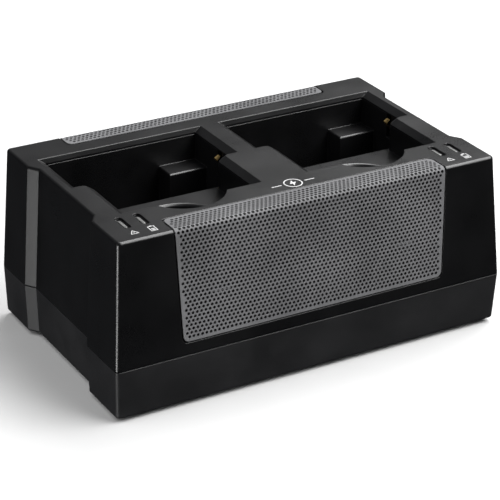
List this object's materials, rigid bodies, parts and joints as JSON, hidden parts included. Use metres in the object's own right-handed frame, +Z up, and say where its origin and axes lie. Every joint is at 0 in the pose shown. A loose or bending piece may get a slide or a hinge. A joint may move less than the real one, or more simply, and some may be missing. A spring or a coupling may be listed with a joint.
{
  "type": "desktop charging station",
  "caption": "Two-bay desktop charging station for wireless transmitters, with spring contacts, indicator lamps and perforated metal trim.",
  "frame": {"origin": "on the table under the middle of the case, at the bottom of its feet", "axes": "+X to the right seen from the front, +Y to the back, +Z up"},
  "size_m": [0.19, 0.116, 0.0812],
  "materials": {
    "upper_case": "fine textured black ABS",
    "lower_case": "fine textured black ABS",
    "well_plastic": "satin black ABS",
    "grille_steel": "powder-coated perforated steel, dark grey",
    "contact_gold": "gold-plated spring alloy",
    "insulator": "glass-filled nylon, black",
    "light_pipe": "clear polycarbonate",
    "led": "clear epoxy over white ceramic",
    "circuit_board": "green solder mask",
    "chip": "moulded epoxy",
    "heat_sink": "extruded aluminium",
    "capacitor": "sleeved aluminium can",
    "ferrite": "sintered ferrite with copper winding",
    "socket": "natural nylon",
    "nickel": "nickel plate",
    "inlet_plastic": "black phenolic",
    "lead": "PVC insulated lead",
    "rubber": "moulded rubber",
    "screw_steel": "black zinc"
  },
  "bodies": {
    "base": {"board_screws": "screw_steel", "board_sockets": "socket", "case_screws": "screw_steel", "charge_controllers": "chip", "charging_well_left": "well_plastic", "charging_well_right": "well_plastic", "contact_holder_left_left": "insulator", "contact_holder_left_right": "insulator", "contact_holder_right_left": "insulator", "contact_holder_right_right": "insulator", "contact_lead_left_left": "lead", "contact_lead_left_right": "lead", "contact_lead_right_left": "lead", "contact_lead_right_right": "lead", "dc_inlet": "inlet_plastic", "foot_front_left": "rubber", "foot_front_right": "rubber", "foot_rear_left": "rubber", "foot_rear_right": "rubber", "front_grille": "grille_steel", "heat_sink": "heat_sink", "indicator_board_left": "circuit_board", "indicator_board_right": "circuit_board", "inductor": "ferrite", "inlet_nut": "nickel", "lamp_board_screws": "screw_steel", "lamp_lead_left": "lead", "lamp_lead_right": "lead", "leds_left": "led", "leds_right": "led", "light_pipe_left_inner": "light_pipe", "light_pipe_left_outer": "light_pipe", "light_pipe_right_inner": "light_pipe", "light_pipe_right_outer": "light_pipe", "lower_housing": "lower_case", "main_board": "circuit_board", "pin_guide_left": "insulator", "pin_guide_right": "insulator", "power_lead": "lead", "power_transistors": "chip", "rear_grille": "grille_steel", "smoothing_capacitors": "capacitor", "upper_housing": "upper_case", "well_screws": "screw_steel"},
    "leaf_left_left": {"leaf_contact_left_left": "contact_gold"},
    "pin_left_left": {"well_pin_left_left": "contact_gold"},
    "leaf_left_right": {"leaf_contact_left_right": "contact_gold"},
    "pin_left_right": {"well_pin_left_right": "contact_gold"},
    "leaf_right_left": {"leaf_contact_right_left": "contact_gold"},
    "pin_right_left": {"well_pin_right_left": "contact_gold"},
    "leaf_right_right": {"leaf_contact_right_right": "contact_gold"},
    "pin_right_right": {"well_pin_right_right": "contact_gold"}
  },
  "joints": [
    {"name": "leaf_left_left_flex", "type": "hinge", "parent": "base", "child": "leaf_left_left", "pos_m": [-0.0845, 0.014, 0.067], "axis": [0, -1, 0], "range_deg": [0, 10], "stiffness_Nm_per_rad": 0.012, "springref_deg": -2.86},
    {"name": "pin_left_left_travel", "type": "slide", "parent": "base", "child": "pin_left_left", "axis": [0, 0, -1], "range_m": [0, 0.0015], "stiffness_N_per_m": 150, "springref_m": -0.001},
    {"name": "leaf_left_right_flex", "type": "hinge", "parent": "base", "child": "leaf_left_right", "pos_m": [-0.0043, 0.014, 0.067], "axis": [0, 1, 0], "range_deg": [0, 10], "stiffness_Nm_per_rad": 0.012, "springref_deg": -2.86},
    {"name": "pin_left_right_travel", "type": "slide", "parent": "base", "child": "pin_left_right", "axis": [0, 0, -1], "range_m": [0, 0.0015], "stiffness_N_per_m": 150, "springref_m": -0.001},
    {"name": "leaf_right_left_flex", "type": "hinge", "parent": "base", "child": "leaf_right_left", "pos_m": [0.0043, 0.014, 0.067], "axis": [0, -1, 0], "range_deg": [0, 10], "stiffness_Nm_per_rad": 0.012, "springref_deg": -2.86},
    {"name": "pin_right_left_travel", "type": "slide", "parent": "base", "child": "pin_right_left", "axis": [0, 0, -1], "range_m": [0, 0.0015], "stiffness_N_per_m": 150, "springref_m": -0.001},
    {"name": "leaf_right_right_flex", "type": "hinge", "parent": "base", "child": "leaf_right_right", "pos_m": [0.0845, 0.014, 0.067], "axis": [0, 1, 0], "range_deg": [0, 10], "stiffness_Nm_per_rad": 0.012, "springref_deg": -2.86},
    {"name": "pin_right_right_travel", "type": "slide", "parent": "base", "child": "pin_right_right", "axis": [0, 0, -1], "range_m": [0, 0.0015], "stiffness_N_per_m": 150, "springref_m": -0.001}
  ]
}
